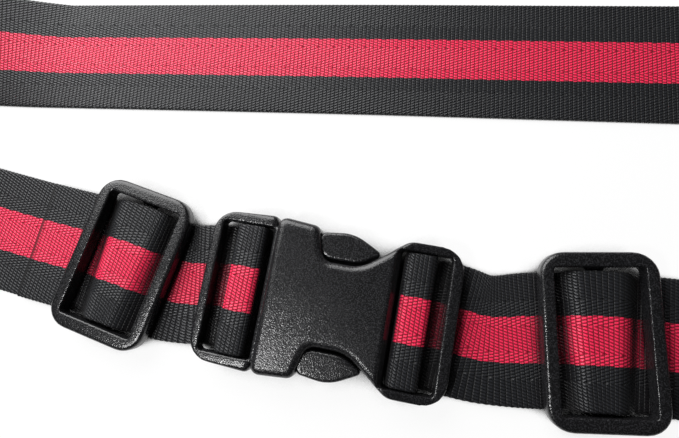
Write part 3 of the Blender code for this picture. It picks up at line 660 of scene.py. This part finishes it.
def place_camera():
    """The camera: the table's upward direction in the camera's axes (right, down, ahead) gives its turn."""
    lean = math.sin(TABLE_TILT)
    up = -np.array([lean * math.sin(TABLE_SWING), lean * math.cos(TABLE_SWING), math.cos(TABLE_TILT)])
    right = np.array([1, 0, 0]) - up * up[0]
    right /= np.linalg.norm(right)
    down = np.cross(right, up)
    cos, sin = math.cos(BELT_TURN), math.sin(BELT_TURN)
    turn = np.array([[cos, sin], [sin, -cos]])
    rows = np.vstack([turn @ np.stack([right, down]), up])
    data = bpy.data.cameras.new("camera")
    data.sensor_width = SENSOR_WIDTH
    data.sensor_fit = "HORIZONTAL"
    data.lens = SENSOR_WIDTH * FOCAL_PIXELS / PICTURE_WIDTH
    data.clip_start = NEAR_CLIP
    camera = bpy.data.objects.new("camera", data)
    bpy.context.scene.collection.objects.link(camera)
    axes = Matrix((rows * [1, -1, -1]).tolist())
    camera.matrix_world = Matrix.Translation(CAMERA_PLACE) @ axes.to_4x4()
    bpy.context.scene.camera = camera


def lamp(name, place, target, size, power):
    """A soft square lamp at a place, facing a target."""
    data = bpy.data.lights.new(name, "AREA")
    data.size = size
    data.energy = power
    made = bpy.data.objects.new(name, data)
    bpy.context.scene.collection.objects.link(made)
    made.location = place
    aim = np.array(target) - np.array(place)
    made.rotation_euler = Vector(aim).to_track_quat("-Z", "Y").to_euler()


def table_finish():
    """White table: plain white to the camera and to reflections, with a part that takes shadow.

    In narrow places that see little of the sky, such as the slots of the buckle, it is painted dark as shade
    and its white glow fades out.
    """
    finish = Finish("white_table", Roughness=0.9)
    tree = finish.tree
    path = tree.nodes.new("ShaderNodeLightPath")
    seen = Value(finish, path.outputs["Is Camera Ray"])
    for ray in ("Is Glossy Ray", "Is Transmission Ray"):
        seen = seen.math("MAXIMUM", Value(finish, path.outputs[ray]))
    white = finish.node("ShaderNodeEmission", {}, {"Color": WHITE, "Strength": 1})
    open_sky = finish.openness(OPEN_REACH, OPEN_FROM, OPEN_TO)
    # Painted shade: the table's colour goes dark where ambient occlusion finds nearer pieces, as under the
    # buckle and in its slots.
    finish.feed("Base Color", finish.mix(open_sky, TABLE_SHADE, TABLE_WHITE))
    # The white glow fades in the same places, which leaves them in painted shade.
    both = finish.node("ShaderNodeMixShader", {}, {
        0: seen * open_sky * TABLE_GLOW, 1: Value(finish, finish.shader.outputs[0]), 2: white})
    tree.links.new(both.socket, tree.nodes["Material Output"].inputs["Surface"])
    return finish.material


def build_table():
    """A level white table under the belt."""
    half, z = TABLE_HALF, TABLE_Z
    corners = [(-half, -half, z), (half, -half, z), (half, half, z), (-half, half, z)]
    mesh = bpy.data.meshes.new("table")
    mesh.from_pydata(corners, [], [(0, 1, 2, 3)])
    show("table", mesh, table_finish())


def build_light():
    """Soft studio light: a faint even sky, a lamp at the front left and one at the back left.

    To the camera the sky is a plain white backdrop.
    """
    world = bpy.data.worlds.new("studio")
    world.use_nodes = True
    tree = world.node_tree
    sky = tree.nodes["Background"]
    backdrop = tree.nodes.new("ShaderNodeBackground")
    both = tree.nodes.new("ShaderNodeMixShader")
    for shader, strength in ((sky, SKY_STRENGTH), (backdrop, 1)):
        shader.inputs["Color"].default_value = WHITE
        shader.inputs["Strength"].default_value = strength
    tree.links.new(tree.nodes.new("ShaderNodeLightPath").outputs["Is Camera Ray"], both.inputs[0])
    tree.links.new(sky.outputs[0], both.inputs[1])
    tree.links.new(backdrop.outputs[0], both.inputs[2])
    tree.links.new(both.outputs[0], tree.nodes["World Output"].inputs["Surface"])
    bpy.context.scene.world = world
    lamp("front_lamp", FRONT_LAMP_PLACE, FRONT_LAMP_TARGET, FRONT_LAMP_SIZE, FRONT_LAMP_POWER)
    lamp("back_lamp", BACK_LAMP_PLACE, BACK_LAMP_TARGET, BACK_LAMP_SIZE, BACK_LAMP_POWER)


def build_scene():
    """The whole picture."""
    bpy.context.scene.view_settings.view_transform = "Standard"
    place_camera()
    build_table()
    build_light()
    webbing = webbing_finish()
    route = find_route()
    left_turn, right_turn = loop_webbing(route, webbing)
    side_webbing(route, "left", 0, 1, LEFT_GLIDE_REACH, LEFT_TAIL_REACH,
                 left_turn, "insert", "left_slider", webbing)
    side_webbing(route, "right", route.length, -1, RIGHT_GLIDE_REACH, RIGHT_TAIL_REACH,
                 route.length - right_turn, "belt", "right_slider", webbing)
    plastic = plastic_finish()
    moulding("socket_moulding", "female_socket", "belt", plastic)
    moulding("insert_moulding", "male_insert", "insert", plastic)
    moulding("rear_arm_moulding", "rear_release_arm", "rear_arm", plastic)
    moulding("front_arm_moulding", "front_release_arm", "front_arm", plastic)
    moulding("left_glide_moulding", "left_tri_glide", "left_slider", plastic)
    moulding("right_glide_moulding", "right_tri_glide", "right_slider", plastic)


build_scene()
